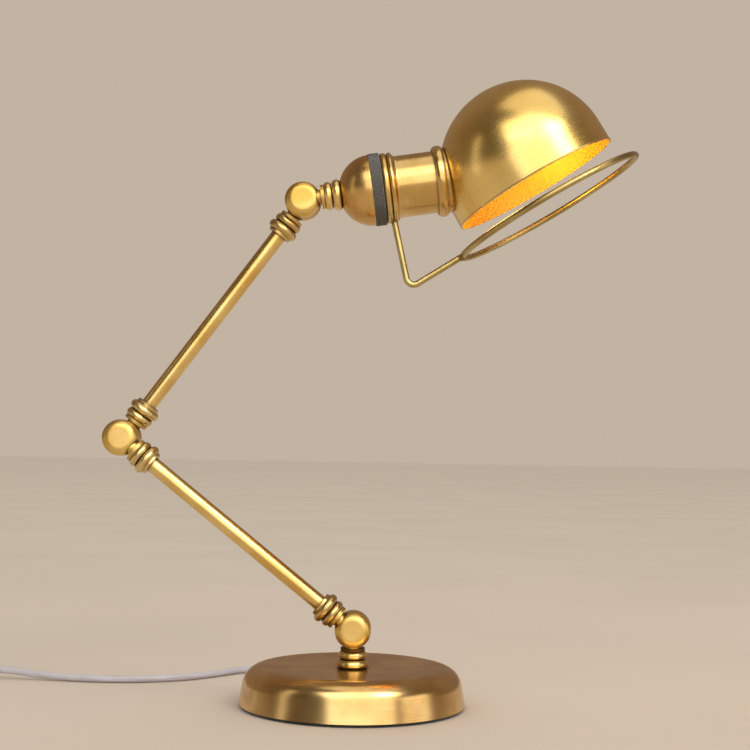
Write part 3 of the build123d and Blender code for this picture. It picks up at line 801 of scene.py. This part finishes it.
def strand(name, line, start_angle, material, sides=8):
    """A wire that winds about a line at a small offset, carried along without twist."""
    way = (line[1] - line[0]).normalized()
    side = across(way)[0]
    travelled = 0.0
    vertices = []
    for index, place in enumerate(line):
        before = line[max(0, index - 1)]
        after = line[min(len(line) - 1, index + 1)]
        way = (after - before).normalized()
        side = (side - way * side.dot(way)).normalized()
        other = way.cross(side)
        travelled += (place - before).length
        turn = start_angle + 2 * math.pi * travelled / CORE_PITCH
        centre = place + (side * math.cos(turn) + other * math.sin(turn)) * CORE_OFFSET
        for corner in range(sides):
            angle = 2 * math.pi * corner / sides
            out = side * math.cos(angle) + other * math.sin(angle)
            vertices.append(centre + out * CORE_RADIUS)
    faces = grid_faces(len(line), sides)
    last = (len(line) - 1) * sides
    faces.append(tuple(reversed(range(sides))))
    faces.append(tuple(range(last, last + sides)))
    return new_object(name, vertices, faces, material, "base")


def clear_sheath():
    """Clear plastic with a faint lilac cast and a slightly uneven drawn skin."""
    surface = Surface("clear_cord")
    fine = surface.noise(surface.place, 420.0, 3.0, 0.6)
    cloud = surface.noise(surface.place, 90.0, 2.0, 0.5)
    tone = surface.mix(
        surface.ramp(cloud, 0.3, 0.7), colour(0.92, 0.90, 0.95), colour(0.86, 0.83, 0.90)
    )
    surface.set(
        Base_Color=tone,
        Roughness=surface.ramp(fine, 0.3, 0.7, 0.10, 0.24),
        Normal=surface.bump(fine, 0.00004, 0.4),
        Transmission_Weight=0.5,
        IOR=1.38,
    )
    return surface.material


def strand_metal(name, base):
    surface = Surface(name)
    twist = surface.noise(surface.place, 1500.0, 2.0, 0.5)
    tone = surface.mix(surface.ramp(twist, 0.35, 0.65), base, darker(base, 0.55))
    surface.set(
        Base_Color=tone,
        Metallic=0.3,
        Roughness=surface.ramp(twist, 0.3, 0.7, 0.35, 0.5),
        Normal=surface.bump(twist, 0.00008, 0.6),
    )
    return surface.material


cord = smooth_curve(
    "cord_sheath", lamp_route + switch_route + coil_points() + plug_route, CORD_DIAMETER / 2
)
cord.data.materials.append(clear_sheath())
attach(cord, "base")
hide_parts("lamp_lead", "switch_lead", "cord_coil", "plug_lead")
cord_line = centre_line(cord)
strands = [
    strand("cord_core_" + name, cord_line, turn, strand_metal("core_" + name, tone))
    for name, turn, tone in (
        ("copper", 0.0, colour(0.82, 0.68, 0.60)),
        ("tinned", math.pi, colour(0.80, 0.80, 0.84)),
    )
]


# ---------------------------------------------------------------- stage and light
def stage_floor(half=40.0):
    surface = Surface("pale_floor")
    cloud = surface.noise(surface.place, 3.0, 2.0, 0.5)
    surface.set(
        Base_Color=surface.mix(
            surface.ramp(cloud, 0.3, 0.7), colour(0.57, 0.48, 0.39), colour(0.55, 0.46, 0.375)
        ),
        Roughness=1.0,
        Specular_IOR_Level=0.0,
    )
    mesh = bpy.data.meshes.new("floor")
    corners = [(-half, -half, 0), (half, -half, 0), (half, half, 0), (-half, half, 0)]
    mesh.from_pydata(corners, [], [(0, 1, 2, 3)])
    mesh.materials.append(surface.material)
    floor = put_in_scene("floor", mesh)
    floor.location.z = cad_low.z


stage_floor()


def soft_box(name, place, size, power, tint, on_floor):
    """A panel aimed at the lamp; only the key light shows on the floor."""
    light = bpy.data.lights.new(name, "AREA")
    light.shape = "RECTANGLE"
    light.size, light.size_y = size
    light.energy = power
    light.color = tint
    lamp = put_in_scene(name, light)
    lamp.location = place
    aim = Vector(LAMP_MIDDLE) - Vector(place)
    lamp.rotation_euler = aim.to_track_quat("-Z", "Y").to_euler()
    lamp.visible_diffuse = on_floor


LAMP_MIDDLE = (0.02, 0.0, 0.22)
ROOM_IN_FRONT = colour(0.085, 0.06, 0.04)
ROOM_BEHIND = colour(0.27, 0.19, 0.14)
ROOM_LIGHT = colour(1.0, 0.99, 0.97)
BACKDROP = colour(0.54, 0.45, 0.36)
for name, place, size, power, tint, on_floor in (
    ("window", (0.5, -2.6, 1.0), (3.8, 1.9), 42, (1.0, 0.97, 0.92), False),
    ("high", (0.25, -1.75, 1.95), (3.2, 1.2), 31, (1.0, 0.98, 0.93), False),
    ("over", (0.30, -0.35, 2.3), (1.8, 1.7), 9, (1.0, 0.97, 0.90), False),
    ("right", (2.3, -0.9, 0.55), (1.5, 0.9), 6, (1.0, 0.94, 0.84), False),
    ("key", (1.0, -1.1, 1.4), (0.7, 0.7), 9, (1.0, 0.96, 0.88), True),
    ("strip", (-1.5, -0.5, 0.55), (0.25, 1.3), 0.9, (1.0, 0.94, 0.85), False),
):
    soft_box(name, place, size, power, tint, on_floor)


def studio_world():
    """A pale room: even light on plain things, and a darker room for metal to mirror."""
    world = bpy.data.worlds.new("studio")
    world.use_nodes = True
    room = Nodes(world.node_tree)
    rays = room.put("ShaderNodeLightPath").outputs
    place = room.put("ShaderNodeTexCoord").outputs["Generated"]
    forward = room.put("ShaderNodeSeparateXYZ", {0: place}).outputs["Y"]
    behind = room.put(
        "ShaderNodeMapRange", {"Value": forward, "From Min": -0.4, "From Max": 0.5}
    ).outputs[0]
    mirrored = room.mix(behind, ROOM_IN_FRONT, ROOM_BEHIND)
    lit = room.mix(rays["Is Diffuse Ray"], mirrored, ROOM_LIGHT)
    seen = room.mix(rays["Is Camera Ray"], lit, BACKDROP)
    room.tree.links.new(seen, room.tree.nodes["Background"].inputs[0])
    bpy.context.scene.world = world


studio_world()
bpy.context.scene.view_settings.view_transform = "Standard"
